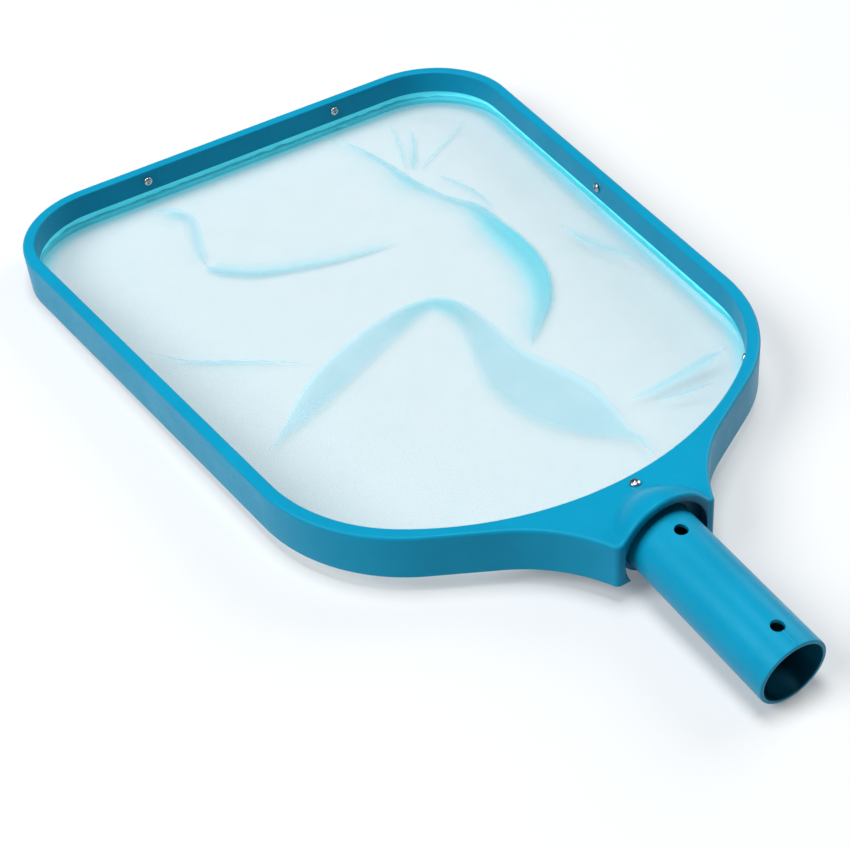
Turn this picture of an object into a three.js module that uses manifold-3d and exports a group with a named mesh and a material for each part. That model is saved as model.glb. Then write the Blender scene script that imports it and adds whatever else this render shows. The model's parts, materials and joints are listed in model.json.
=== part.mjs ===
// Leaf skimmer net: a flat pool net in a moulded frame, with a socket for a standard telescopic pole.
// Millimetres, +Z up, +Y towards the front lip, +X to the right when seen from the handle.
// The head is drawn level, with the frame's lower edge at z = 0. The whole is then tipped by REST_TILT,
// so that it rests as the real one does: on the front lip and on the lowest point of the tube's mouth.

import * as THREE from 'three';
import { mergeVertices } from 'three/addons/utils/BufferGeometryUtils.js';
import Module from 'manifold-3d';

const wasm = await Module();
wasm.setup();

// ---------- driving dimensions ----------

// Plan of the head
const HALF_WIDTH = 150;
const FRONT_Y = 194;
const CORNER_R = 51;
const SIDE_TAPER = 4.3; // degrees; the head narrows towards the handle
const REAR_CENTRE = new THREE.Vector2(46.4, -83); // of the rear corner's arc
const REAR_TURN = 60.7; // degrees that the outer rear corner turns through
const INNER_TURN = 53.3; // the same for the opening, which then follows one wide arc
const NECK_RUN = 32.8; // straight stretch between the rear corner and the neck's fillet
const NECK_FILLET_R = 80;
const NECK_END_Y = -212.3;
const NECK_CORNER_R = 3;

// Section of the rim, an inverted channel
const HEIGHT = 23.75;
const RIM_WIDTH = 6.6;
const OUTER_SKIN = 1.7;
const INNER_SKIN = 1.7;
const TOP_SKIN = 2;
const INNER_WALL_BOTTOM = 10.8;
const OUTER_ROUND = 1.6;
const INNER_ROUND = 0.9;
const FOOT_CHAMFER = 0.4;
const FIT_GAP = 0.25; // between the layers in the channel

// What lies in the channel
const HEM_THICKNESS = 0.6;
const HEM_BOTTOM = 3.8;
const CLAMP_THICKNESS = 1.4;
const CLAMP_BOTTOM = 12;
const CHANNEL_CLEARANCE = 0.35; // below the flange

// Net
const NET_THICKNESS = 1.2;
const NET_EDGE_Z = 4;
const NET_SAG = 7;
const NET_FLOOR_GAP = 1.5;

// Handle tube, on an axis of its own that droops towards the mouth
const TUBE_R = 17;
const BORE_R = 15;
const TUBE_LENGTH = 96.6;
const TUBE_END_WALL = 2.2;
const TUBE_DROOP = 4.41; // degrees
const MOUTH = new THREE.Vector3(0, -294.8, 5.06);
const MOUTH_ROUND = 0.6;
const BUTTON_HOLE_R = 3.1;
const MOUTH_BUTTON_AT = 12.5; // from the mouth, through the upper wall
const INNER_BUTTON_AT = 74.5; // through both walls
const GUIDE_RIB_R = 0.8;
const GUIDE_RIB_SINK = 0.45;

// Hood and socket
const HOOD_R = 26;
const HOOD_AXIS_Z = 11.5;
const HOOD_START_Y = -188;
const HOOD_LIP = 0.8;
const RECESS_R = 22;
const RECESS_START_Y = -206;
const SOCKET_R = 17.3;
const SOCKET_START_Y = -198;
const SADDLE_R = 19.8;
const SADDLE_HALF_WIDTH = 24.5;
const SADDLE_TOP = -7; // below the tube's axis, as the next two
const SADDLE_EAR_BOTTOM = -10.5;
const SADDLE_SEAT = -6.7;
const SADDLE_LENGTH = 7.4;
const SADDLE_SCREW_X = 21.4;

// Ribs under the neck plate
const RIB_XS = [-34, -14, 14, 34];
const RIB_THICKNESS = 1.6;
const RIB_BOTTOM = 8;

// Screws
const SCREW_HEAD_R = 2.5;
const SCREW_HEAD_H = 1.8;
const SCREW_SEAT = 0.3; // keeps the head clear of the curved walls
const SCREW_TIP = 1.2;
const SCREW_SHANK_R = 1.1;
const SCREW_HOLE_R = 1.4;
const SCREW_Z = 17.3;
const FRONT_SCREW_X = 61;
const SIDE_SCREW_Y = 24;
const REAR_SCREW_ANGLE = -45; // degrees, round the rear corner's centre
const NECK_SCREW_AT = new THREE.Vector2(4, -184.3);
const BOSS_R = 4;
const WALL_SCREW_LENGTH = 4.1;
const NECK_SCREW_LENGTH = 10;
const SADDLE_SCREW_LENGTH = 11;

const ARC_STEP = 6; // degrees between the points of an arc
const SPILL = 1; // how far a cutter runs past what it cuts

// ---------- small helpers ----------

const rad = THREE.MathUtils.degToRad;
const deg = THREE.MathUtils.radToDeg;

function arc(centre, radius, from, to) {
  const steps = Math.max(2, Math.ceil(Math.abs(to - from) / ARC_STEP));
  const points = [];
  for (let i = 0; i <= steps; i += 1) {
    const angle = rad(from + ((to - from) * i) / steps);
    points.push(new THREE.Vector2(centre.x + radius * Math.cos(angle), centre.y + radius * Math.sin(angle)));
  }
  return points;
}

function polar(centre, radius, angle) {
  return new THREE.Vector2(centre.x + radius * Math.cos(rad(angle)), centre.y + radius * Math.sin(rad(angle)));
}

// A right half that runs from the front centre to the rear centre, made whole and counter-clockwise.
function mirrored(half) {
  const left = half.map((p) => new THREE.Vector2(-p.x, p.y));
  const right = half.slice(1, -1).reverse();
  return [...left, ...right];
}

function ring(outline, z) {
  return outline.map((p) => new THREE.Vector3(p.x, p.y, z));
}

// A closed skin through rings of equally many points, each the last one's neighbour, capped at both ends.
function loft(rings, flatten = (p) => new THREE.Vector2(p.x, p.y)) {
  const count = rings[0].length;
  const positions = rings.flat().flatMap((p) => [p.x, p.y, p.z]);
  const index = [];
  for (let k = 0; k + 1 < rings.length; k += 1) {
    for (let i = 0; i < count; i += 1) {
      const a = k * count + i;
      const b = k * count + ((i + 1) % count);
      index.push(a, b, b + count, a, b + count, a + count);
    }
  }
  const last = (rings.length - 1) * count;
  for (const [a, b, c] of THREE.ShapeUtils.triangulateShape(rings[0].map(flatten), [])) {
    index.push(c, b, a);
  }
  for (const [a, b, c] of THREE.ShapeUtils.triangulateShape(rings[rings.length - 1].map(flatten), [])) {
    index.push(last + a, last + b, last + c);
  }
  const geometry = new THREE.BufferGeometry();
  geometry.setAttribute('position', new THREE.Float32BufferAttribute(positions, 3));
  geometry.setIndex(index);
  return geometry;
}

function prism(outline, bottom, top) {
  return loft([ring(outline, bottom), ring(outline, top)]);
}

function solid(geometry) {
  const bare = geometry.clone();
  bare.deleteAttribute('normal');
  bare.deleteAttribute('uv');
  const welded = mergeVertices(bare, 1e-4);
  const vertProperties = new Float32Array(welded.attributes.position.array);
  const triVerts = new Uint32Array(welded.index.array);
  return new wasm.Manifold(new wasm.Mesh({ numProp: 3, vertProperties, triVerts }));
}

function geometryOf(manifold) {
  const { vertProperties, triVerts } = manifold.getMesh();
  const geometry = new THREE.BufferGeometry();
  geometry.setAttribute('position', new THREE.BufferAttribute(vertProperties, 3));
  geometry.setIndex(new THREE.BufferAttribute(triVerts, 1));
  geometry.computeVertexNormals();
  return geometry;
}

function block(low, high) {
  const size = new THREE.Vector3().subVectors(high, low);
  const middle = new THREE.Vector3().addVectors(low, high).multiplyScalar(0.5);
  return new THREE.BoxGeometry(size.x, size.y, size.z).translate(middle.x, middle.y, middle.z);
}

// A cylinder whose axis runs from one point to another.
function rod(from, to, radius, sides) {
  const along = new THREE.Vector3().subVectors(to, from);
  const geometry = new THREE.CylinderGeometry(radius, radius, along.length(), sides);
  const turn = new THREE.Quaternion().setFromUnitVectors(new THREE.Vector3(0, 1, 0), along.clone().normalize());
  return geometry.applyQuaternion(turn).translate(...from.clone().addScaledVector(along, 0.5));
}

// ---------- outlines of the head ----------

const frontCentre = new THREE.Vector2(HALF_WIDTH - CORNER_R, FRONT_Y - CORNER_R);
const sideNormal = polar(new THREE.Vector2(), 1, -SIDE_TAPER);
const rearRadius = sideNormal.dot(frontCentre.clone().sub(REAR_CENTRE)) + CORNER_R;
const outerTurnNormal = polar(new THREE.Vector2(), 1, -REAR_TURN);
const rearCornerEnd = polar(REAR_CENTRE, rearRadius, -REAR_TURN);
const neckRunEnd = rearCornerEnd.clone().add(polar(new THREE.Vector2(), NECK_RUN, -REAR_TURN - 90));
const filletCentre = neckRunEnd.clone().addScaledVector(outerTurnNormal, NECK_FILLET_R);
const openingSpan = REAR_CENTRE.x / Math.cos(rad(INNER_TURN));
const openingCentre = new THREE.Vector2(0, REAR_CENTRE.y + openingSpan * Math.sin(rad(INNER_TURN)));

// The circle that rounds the neck's corner touches the fillet and the neck's end.
function neckCorner() {
  const y = NECK_END_Y + NECK_CORNER_R;
  const reach = NECK_FILLET_R + NECK_CORNER_R;
  return new THREE.Vector2(filletCentre.x - Math.sqrt(reach ** 2 - (y - filletCentre.y) ** 2), y);
}

// The frame's outer outline, moved inwards by inset.
function outerOutline(inset) {
  const corner = neckCorner();
  const meeting = deg(Math.atan2(corner.y - filletCentre.y, corner.x - filletCentre.x));
  return mirrored([
    new THREE.Vector2(0, FRONT_Y - inset),
    ...arc(frontCentre, CORNER_R - inset, 90, -SIDE_TAPER),
    ...arc(REAR_CENTRE, rearRadius - inset, -SIDE_TAPER, -REAR_TURN),
    ...arc(filletCentre, NECK_FILLET_R + inset, 180 - REAR_TURN, meeting),
    ...arc(corner, NECK_CORNER_R - inset, meeting - 180, -90),
    new THREE.Vector2(0, NECK_END_Y + inset),
  ]);
}

// The opening's outline, moved outwards by outset.
function openingOutline(outset) {
  const shift = outset - RIM_WIDTH;
  return mirrored([
    new THREE.Vector2(0, FRONT_Y + shift),
    ...arc(frontCentre, CORNER_R + shift, 90, -SIDE_TAPER),
    ...arc(REAR_CENTRE, rearRadius + shift, -SIDE_TAPER, -INNER_TURN),
    ...arc(openingCentre, rearRadius + openingSpan + shift, -INNER_TURN, -90).slice(1),
  ]);
}

// ---------- handle tube's own axes: origin at the mouth, z along the tube to the head, y down ----------

const socket = new THREE.Group();
socket.position.copy(MOUTH);
socket.rotation.x = -rad(90 - TUBE_DROOP);
socket.updateMatrix();

function inHead(geometry) {
  return geometry.applyMatrix4(socket.matrix);
}

// How far along the tube a plane across the head at y meets the tube's axis.
function station(y) {
  return (y - MOUTH.y) / Math.cos(rad(TUBE_DROOP));
}

function axisCylinder(radius, fromY, toY) {
  const from = new THREE.Vector3(0, 0, station(fromY));
  const to = new THREE.Vector3(0, 0, station(toY));
  return inHead(rod(from, to, radius, 64));
}

// ---------- where the screws go: foot of the head, and the way the shank points ----------

function sideWallX(y) {
  const reach = sideNormal.dot(frontCentre) + CORNER_R - RIM_WIDTH;
  return (reach - sideNormal.y * y) / sideNormal.x;
}

function wallScrews() {
  const up = new THREE.Vector3(0, 0, SCREW_Z);
  const rear = polar(REAR_CENTRE, rearRadius - RIM_WIDTH, REAR_SCREW_ANGLE);
  const rearWay = polar(new THREE.Vector2(), 1, REAR_SCREW_ANGLE);
  const places = {
    front: [new THREE.Vector2(FRONT_SCREW_X, FRONT_Y - RIM_WIDTH), new THREE.Vector2(0, 1)],
    side: [new THREE.Vector2(sideWallX(SIDE_SCREW_Y), SIDE_SCREW_Y), sideNormal],
    rear: [rear, rearWay],
  };
  return Object.entries(places).flatMap(([place, [at, way]]) => [
    ['left', -1],
    ['right', 1],
  ].map(([side, sign]) => ({
    name: `${place}_screw_${side}`,
    foot: new THREE.Vector3(sign * at.x, at.y, 0).add(up),
    way: new THREE.Vector3(sign * way.x, way.y, 0),
  })));
}

const neckScrew = {
  name: 'neck_screw',
  foot: new THREE.Vector3(NECK_SCREW_AT.x, NECK_SCREW_AT.y, HEIGHT),
  way: new THREE.Vector3(0, 0, -1),
};

function saddleScrews() {
  const middle = (station(RECESS_START_Y) + station(SOCKET_START_Y)) / 2;
  return [['left', -1], ['right', 1]].map(([side, sign]) => ({
    name: `socket_clamp_screw_${side}`,
    foot: new THREE.Vector3(sign * SADDLE_SCREW_X, -SADDLE_EAR_BOTTOM, middle),
    way: new THREE.Vector3(0, -1, 0),
  }));
}

function holeFor(screw, depth) {
  const from = screw.foot.clone().addScaledVector(screw.way, -SPILL);
  return rod(from, screw.foot.clone().addScaledVector(screw.way, depth), SCREW_HOLE_R, 16);
}

// ---------- outer frame ----------

function roundedBody() {
  const rings = [ring(outerOutline(FOOT_CHAMFER), 0), ring(outerOutline(0), FOOT_CHAMFER)];
  for (const angle of [0, 30, 60, 90]) {
    const inset = OUTER_ROUND * (1 - Math.cos(rad(angle)));
    rings.push(ring(outerOutline(inset), HEIGHT - OUTER_ROUND * (1 - Math.sin(rad(angle)))));
  }
  return solid(loft(rings));
}

function opening() {
  const rings = [ring(openingOutline(0), -SPILL)];
  for (const angle of [0, 30, 60, 90]) {
    const outset = INNER_ROUND * (1 - Math.cos(rad(angle)));
    rings.push(ring(openingOutline(outset), HEIGHT - INNER_ROUND * (1 - Math.sin(rad(angle)))));
  }
  rings.push(ring(openingOutline(INNER_ROUND), HEIGHT + SPILL));
  return solid(loft(rings));
}

// The space under the flange and the neck plate, as far back as the socket's block.
function channel() {
  const outside = solid(prism(outerOutline(OUTER_SKIN), -SPILL, HEIGHT - TOP_SKIN));
  const inside = solid(prism(openingOutline(INNER_SKIN), -2 * SPILL, HEIGHT));
  const socketBlock = solid(block(
    new THREE.Vector3(-HALF_WIDTH, NECK_END_Y - SPILL, -2 * SPILL),
    new THREE.Vector3(HALF_WIDTH, SOCKET_START_Y, HEIGHT),
  ));
  return outside.subtract(inside).subtract(socketBlock);
}

function belowInnerWall() {
  return solid(prism(openingOutline(INNER_SKIN + FIT_GAP), -SPILL, INNER_WALL_BOTTOM));
}

function neckRibs(space) {
  const hemSide = solid(prism(
    openingOutline(RIM_WIDTH - OUTER_SKIN + FIT_GAP),
    -SPILL,
    HEIGHT + SPILL,
  ));
  const ribs = RIB_XS.map((x) => solid(block(
    new THREE.Vector3(x - RIB_THICKNESS / 2, NECK_END_Y, RIB_BOTTOM),
    new THREE.Vector3(x + RIB_THICKNESS / 2, openingCentre.y, HEIGHT),
  )));
  const joined = ribs.reduce((all, rib) => all.add(rib));
  return joined.intersect(space).subtract(hemSide);
}

// One arched section of the hood, standing on the neck plate.
function hoodSection(radius, y) {
  const base = HEIGHT - HOOD_AXIS_Z;
  const low = deg(Math.asin(base / radius));
  const points = [];
  const steps = 24;
  for (let i = 0; i <= steps; i += 1) {
    const angle = rad(low + ((180 - 2 * low) * i) / steps);
    points.push(new THREE.Vector3(radius * Math.cos(angle), y, HOOD_AXIS_Z + radius * Math.sin(angle)));
  }
  const half = points[0].x;
  const buried = HEIGHT - TOP_SKIN / 2;
  return [...points, new THREE.Vector3(-half, y, buried), new THREE.Vector3(half, y, buried)];
}

// The hood swells out of the neck plate, fast at first and then level, like a quarter of a sine wave.
function hood() {
  const base = HEIGHT - HOOD_AXIS_Z;
  const sections = [];
  const steps = 10;
  for (let i = 0; i <= steps; i += 1) {
    const part = Math.max(i / steps, 0.01);
    const y = HOOD_START_Y + (NECK_END_Y + HOOD_LIP - HOOD_START_Y) * part;
    sections.push(hoodSection(base + (HOOD_R - base) * Math.sin((part * Math.PI) / 2), y));
  }
  sections.push(hoodSection(HOOD_R - HOOD_LIP, NECK_END_Y));
  return solid(loft(sections, (p) => new THREE.Vector2(p.x, p.z)));
}

function saddleSpace() {
  const width = SADDLE_HALF_WIDTH + FIT_GAP;
  return solid(inHead(block(
    new THREE.Vector3(-width, -SADDLE_SEAT, station(RECESS_START_Y) - FIT_GAP),
    new THREE.Vector3(width, HEIGHT, station(SOCKET_START_Y) + SPILL),
  )));
}

function outerFrame() {
  const space = channel();
  const screws = [...wallScrews(), neckScrew];
  const cutters = [
    opening(),
    belowInnerWall(),
    solid(axisCylinder(RECESS_R, NECK_END_Y - 3 * SPILL, RECESS_START_Y)),
    solid(axisCylinder(SOCKET_R, NECK_END_Y - 3 * SPILL, SOCKET_START_Y + SPILL)),
    saddleSpace(),
    ...screws.map((screw) => solid(holeFor(screw, WALL_SCREW_LENGTH))),
    ...saddleScrews().map((screw) => solid(inHead(holeFor(screw, SADDLE_SCREW_LENGTH + SPILL)))),
  ];
  const body = roundedBody().add(hood()).subtract(space).add(neckRibs(space));
  return cutters.reduce((left, cutter) => left.subtract(cutter), body);
}

// ---------- hem, clamp ring and net ----------

function band(innerOutset, thickness, bottom, top) {
  const outside = solid(prism(openingOutline(innerOutset + thickness), bottom, top));
  return outside.subtract(solid(prism(openingOutline(innerOutset), bottom - SPILL, top + SPILL)));
}

function drilledForWallScrews(piece) {
  const holes = wallScrews().map((screw) => solid(holeFor(screw, RIM_WIDTH)));
  return holes.reduce((left, hole) => left.subtract(hole), piece);
}

const hemOutset = INNER_SKIN + FIT_GAP;
const clampOutset = hemOutset + HEM_THICKNESS + FIT_GAP;
const channelTop = HEIGHT - TOP_SKIN - CHANNEL_CLEARANCE;

function netHem() {
  return drilledForWallScrews(band(hemOutset, HEM_THICKNESS, HEM_BOTTOM, channelTop));
}

function clampRing() {
  const foot = new THREE.Vector3(NECK_SCREW_AT.x, NECK_SCREW_AT.y, CLAMP_BOTTOM);
  const boss = solid(rod(foot, foot.clone().setZ(channelTop), BOSS_R, 24));
  const hemSide = solid(prism(openingOutline(clampOutset), -SPILL, HEIGHT + SPILL));
  const ringWithBoss = band(clampOutset, CLAMP_THICKNESS, CLAMP_BOTTOM, channelTop).add(boss.subtract(hemSide));
  return drilledForWallScrews(ringWithBoss).subtract(solid(holeFor(neckScrew, NECK_SCREW_LENGTH + SPILL)));
}

// The angle that puts the front lip and the mouth's lowest edge on one level surface.
function restTilt() {
  const lowest = new THREE.Vector3(0, TUBE_R, MOUTH_ROUND).applyMatrix4(socket.matrix);
  return Math.atan2(-lowest.z, FRONT_Y - FOOT_CHAMFER - lowest.y);
}

const REST_TILT = restTilt();

// The net hangs slack from the hem and all but lies on what the skimmer rests on.
function netHeight(y, share) {
  const settled = THREE.MathUtils.smoothstep(1 - share, 0, 0.3);
  const ground = -(FRONT_Y - y) * Math.tan(REST_TILT);
  return Math.max(NET_EDGE_Z - NET_SAG * settled, ground + NET_FLOOR_GAP);
}

function leafNet() {
  const edge = openingOutline(hemOutset - CHANNEL_CLEARANCE);
  const shares = [0.06, 0.35, 0.7, 0.78, 0.86, 0.94, 1];
  const layer = (share, lift) => edge.map((p) => {
    const y = p.y * share;
    return new THREE.Vector3(p.x * share, y, netHeight(y, share) + lift);
  });
  const under = shares.map((share) => layer(share, -NET_THICKNESS / 2));
  const over = shares.map((share) => layer(share, NET_THICKNESS / 2)).reverse();
  return loft([...under, ...over]);
}

// ---------- handle tube and its clamp ----------

function handleTube() {
  const inside = TUBE_LENGTH - TUBE_END_WALL;
  const profile = [
    [0, inside],
    [BORE_R, inside],
    [BORE_R, MOUTH_ROUND],
    [BORE_R + MOUTH_ROUND / 2, 0],
    [TUBE_R - MOUTH_ROUND, 0],
    [TUBE_R, MOUTH_ROUND],
    [TUBE_R, TUBE_LENGTH - MOUTH_ROUND],
    [TUBE_R - MOUTH_ROUND, TUBE_LENGTH],
    [0, TUBE_LENGTH],
  ].map(([radius, along]) => new THREE.Vector2(radius, along));
  const shell = solid(new THREE.LatheGeometry(profile, 64).rotateX(Math.PI / 2));
  const ribHeight = -(TUBE_R - GUIDE_RIB_SINK);
  const rib = solid(rod(
    new THREE.Vector3(0, ribHeight, MOUTH_ROUND),
    new THREE.Vector3(0, ribHeight, MOUTH_BUTTON_AT),
    GUIDE_RIB_R,
    12,
  ));
  const holes = [[MOUTH_BUTTON_AT, 0], [INNER_BUTTON_AT, 2 * TUBE_R]].map(([along, depth]) => solid(rod(
    new THREE.Vector3(0, -2 * TUBE_R, along),
    new THREE.Vector3(0, depth, along),
    BUTTON_HOLE_R,
    32,
  )));
  return holes.reduce((left, hole) => left.subtract(hole), shell.add(rib));
}

function socketClamp() {
  const start = station(RECESS_START_Y) + FIT_GAP;
  const end = start + SADDLE_LENGTH;
  const disc = (radius, from, to) => solid(rod(
    new THREE.Vector3(0, 0, from),
    new THREE.Vector3(0, 0, to),
    radius,
    64,
  ));
  const ears = solid(block(
    new THREE.Vector3(-SADDLE_HALF_WIDTH, -SADDLE_TOP, start),
    new THREE.Vector3(SADDLE_HALF_WIDTH, -SADDLE_EAR_BOTTOM, end),
  ));
  const lowerHalf = solid(block(
    new THREE.Vector3(-SADDLE_R, -SADDLE_TOP, start - SPILL),
    new THREE.Vector3(SADDLE_R, SADDLE_R + SPILL, end + SPILL),
  ));
  const saddle = disc(SADDLE_R, start, end).intersect(lowerHalf).add(ears);
  const bored = saddle.subtract(disc(SOCKET_R, start - SPILL, end + SPILL));
  const holes = saddleScrews().map((screw) => solid(holeFor(screw, SADDLE_SCREW_LENGTH)));
  return holes.reduce((left, hole) => left.subtract(hole), bored);
}

// ---------- screws: pan head above the origin, shank down -Z ----------

function screwGeometry(length) {
  const profile = [
    [0, -length],
    [SCREW_SHANK_R, SCREW_TIP - length],
    [SCREW_SHANK_R, SCREW_SEAT],
    [SCREW_HEAD_R, SCREW_SEAT],
    [SCREW_HEAD_R, SCREW_HEAD_H * 0.45],
    [SCREW_HEAD_R * 0.86, SCREW_HEAD_H * 0.8],
    [SCREW_HEAD_R * 0.5, SCREW_HEAD_H],
    [0, SCREW_HEAD_H],
  ].map(([radius, height]) => new THREE.Vector2(radius, height));
  const whole = solid(new THREE.LatheGeometry(profile, 20).rotateX(Math.PI / 2));
  const [slotLength, slotWidth, slotDepth] = [2.8, 0.7, 0.9];
  const low = SCREW_HEAD_H - slotDepth;
  const slot = (x, y) => solid(block(new THREE.Vector3(-x, -y, low), new THREE.Vector3(x, y, SCREW_HEAD_H + SPILL)));
  const along = slot(slotLength / 2, slotWidth / 2);
  const across = slot(slotWidth / 2, slotLength / 2);
  return geometryOf(whole.subtract(along).subtract(across));
}

// ---------- assembly ----------

const moulding = { color: 0x12a3cc, roughness: 0.42, metalness: 0 };
const materials = {
  moulding: new THREE.MeshStandardMaterial(moulding),
  clamp: new THREE.MeshStandardMaterial({ color: 0x0f86b8, roughness: 0.5, metalness: 0 }),
  net: new THREE.MeshStandardMaterial({ color: 0xd6ebf2, roughness: 0.85, metalness: 0 }),
  hem: new THREE.MeshStandardMaterial({ color: 0x6fcbe0, roughness: 0.8, metalness: 0 }),
  steel: new THREE.MeshStandardMaterial({ color: 0xb9bdc0, roughness: 0.3, metalness: 1 }),
};

function piece(name, geometry, material) {
  const mesh = new THREE.Mesh(geometry, material);
  mesh.name = name;
  return mesh;
}

function screwMesh(screw, geometry) {
  const mesh = piece(screw.name, geometry, materials.steel);
  mesh.position.copy(screw.foot);
  mesh.quaternion.setFromUnitVectors(new THREE.Vector3(0, 0, -1), screw.way);
  return mesh;
}

socket.add(
  piece('handle_tube', geometryOf(handleTube()), materials.moulding),
  piece('socket_clamp', geometryOf(socketClamp()), materials.clamp),
  ...saddleScrews().map((screw) => screwMesh(screw, screwGeometry(SADDLE_SCREW_LENGTH))),
);

const head = new THREE.Group();
head.rotation.x = -REST_TILT;
head.add(
  piece('outer_frame', geometryOf(outerFrame()), materials.moulding),
  piece('net_clamp_ring', geometryOf(clampRing()), materials.clamp),
  piece('net_hem', geometryOf(netHem()), materials.hem),
  piece('leaf_net', leafNet(), materials.net),
  ...wallScrews().map((screw) => screwMesh(screw, screwGeometry(WALL_SCREW_LENGTH))),
  screwMesh(neckScrew, screwGeometry(NECK_SCREW_LENGTH)),
  socket,
);

// The origin goes to the middle of the bottom of the whole.
const group = new THREE.Group();
group.add(head);
group.updateMatrixWorld(true);
const extent = new THREE.Box3().setFromObject(group, true);
const footprint = extent.getCenter(new THREE.Vector3());
head.position.set(-footprint.x, -footprint.y, -extent.min.z);

export default group;
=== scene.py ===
import cmath
import json
import math

import bmesh
import bpy
import numpy as np
from mathutils import Matrix, Vector, noise
from mathutils.geometry import delaunay_2d_cdt


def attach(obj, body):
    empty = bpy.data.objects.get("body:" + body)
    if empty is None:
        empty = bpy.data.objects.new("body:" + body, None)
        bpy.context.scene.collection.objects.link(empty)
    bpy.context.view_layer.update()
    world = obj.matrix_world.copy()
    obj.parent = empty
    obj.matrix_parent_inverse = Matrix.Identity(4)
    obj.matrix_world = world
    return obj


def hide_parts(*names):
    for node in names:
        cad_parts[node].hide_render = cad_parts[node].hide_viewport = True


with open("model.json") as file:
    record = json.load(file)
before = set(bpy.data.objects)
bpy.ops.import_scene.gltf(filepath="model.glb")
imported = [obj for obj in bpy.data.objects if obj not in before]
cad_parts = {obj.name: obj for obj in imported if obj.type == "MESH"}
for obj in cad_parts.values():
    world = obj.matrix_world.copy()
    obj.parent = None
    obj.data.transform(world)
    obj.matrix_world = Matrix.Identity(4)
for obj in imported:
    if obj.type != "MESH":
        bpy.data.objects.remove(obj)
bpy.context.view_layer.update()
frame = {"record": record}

# Leaf skimmer net. Shapes are drawn in millimetres in the head's own axes: +X right, +Y towards the
# front lip, +Z up, with the level head's lower edge at z = 0. Flat shapes use complex numbers, x + yj.

MM = 0.001

# ---------- dimensions of the moulded parts ----------

HALF_WIDTH = 150
FRONT_Y = 194
CORNER_R = 51
SIDE_TAPER = 4.3
REAR_CENTRE = 46.4 - 83j
REAR_TURN = 60.7
INNER_TURN = 53.3
NECK_RUN = 32.8
NECK_FILLET_R = 80
NECK_END_Y = -212.3
NECK_CORNER_R = 3

HEIGHT = 23.75
RIM_WIDTH = 6.6
OUTER_SKIN = 1.7
INNER_SKIN = 1.7
TOP_SKIN = 2
INNER_WALL_BOTTOM = 10.8
OUTER_ROUND = 1.6
INNER_ROUND = 0.9
FOOT_ROUND = 0.4
FIT_GAP = 0.25

HEM_THICKNESS = 0.6
HEM_BOTTOM = 3.8
CLAMP_THICKNESS = 1.4
CLAMP_BOTTOM = 12
CHANNEL_TOP = HEIGHT - TOP_SKIN - 0.35

TUBE_R = 17
BORE_R = 15
TUBE_LENGTH = 96.6
TUBE_END_WALL = 2.2
MOUTH_ROUND = 0.6
BUTTON_HOLE_R = 3.1
MOUTH_BUTTON_AT = 12.5
INNER_BUTTON_AT = 74.5
GUIDE_RIB_R = 0.8
GUIDE_RIB_SINK = 0.45

HOOD_R = 26
HOOD_AXIS_Z = 11.5
HOOD_START_Y = -188
HOOD_LIP = 0.8
HOOD_BLEND = 4
HOOD_GRID_X = 33
HOOD_GRID_Y = -180
HOOD_GRID_STEP = 0.9
RECESS_R = 22
RECESS_START_Y = -206
SOCKET_R = 17.3
SOCKET_START_Y = -198
SADDLE_R = 19.8
SADDLE_HALF_WIDTH = 24.5
SADDLE_TOP = -7
SADDLE_EAR_BOTTOM = -10.5
SADDLE_SEAT = -6.7
SADDLE_LENGTH = 7.4
SADDLE_SCREW_X = 21.4

RIB_XS = (-34, -14, 14, 34)
RIB_THICKNESS = 1.6
RIB_BOTTOM = 8

SCREW_HEAD_R = 2.5
SCREW_HEAD_H = 1.8
SCREW_SEAT = 0.3
SCREW_TIP = 1.2
SCREW_SHANK_R = 1.1
SCREW_HOLE_R = 1.4
SCREW_Z = 17.3
FRONT_SCREW_X = 61
SIDE_SCREW_Y = 24
REAR_SCREW_ANGLE = -45
NECK_SCREW_AT = (4, -184.3)
BOSS_R = 4
WALL_SCREW_LENGTH = 4.1
NECK_SCREW_LENGTH = 10
SADDLE_SCREW_LENGTH = 11

ARC_STEP = 2
SPILL = 1
TUBE_SIDES = 192
SOCKET_SIDES = 160
SADDLE_SIDES = 128
BUTTON_HOLE_SIDES = 64
SCREW_SIDES = 48
SCREW_HOLE_SIDES = 24
GUIDE_RIB_SIDES = 24

# ---------- axes of the head and of the tube, from the record's mounts ----------


def basis(x, y, z, origin):
    matrix = Matrix((x, y, z)).transposed().to_4x4()
    matrix.translation = origin
    return matrix @ Matrix.Scale(MM, 4)


def mount(name):
    return next(m for m in frame["record"]["mounts"] if m["name"] == name)


def head_axes():
    face = mount("rim_top_face")
    right = Vector((1, 0, 0))
    up = Vector(face["axis"]).normalized()
    forward = up.cross(right)
    middle_of_rim = FRONT_Y - (OUTER_ROUND + RIM_WIDTH - INNER_ROUND) / 2
    origin = Vector(face["pos_m"]) - (forward * middle_of_rim + up * HEIGHT) * MM
    return basis(right, forward, up, origin)


def tube_axes():
    face = mount("pole_socket_face")
    right = Vector((1, 0, 0))
    along = -Vector(face["axis"]).normalized()
    origin = Vector(face["pos_m"])
    origin.x = 0
    return basis(right, along.cross(right), along, origin)


HEAD = head_axes()
TUBE = tube_axes()
TUBE_IN_HEAD = HEAD.inverted() @ TUBE

# ---------- flat outlines ----------


def polar(centre, radius, degrees):
    return centre + cmath.rect(radius, math.radians(degrees))


def arc(centre, radius, start, end):
    steps = max(2, math.ceil(abs(end - start) / ARC_STEP))
    return [polar(centre, radius, start + (end - start) * i / steps) for i in range(steps + 1)]


def joined(parts, gaps):
    """The parts in a row, with evenly spaced points across each straight gap between them."""
    points = list(parts[0])
    for part, gap in zip(parts[1:], gaps):
        start, end = points[-1], part[0]
        points += [start + (end - start) * i / gap for i in range(1, gap)]
        points += part
    return points


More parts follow.
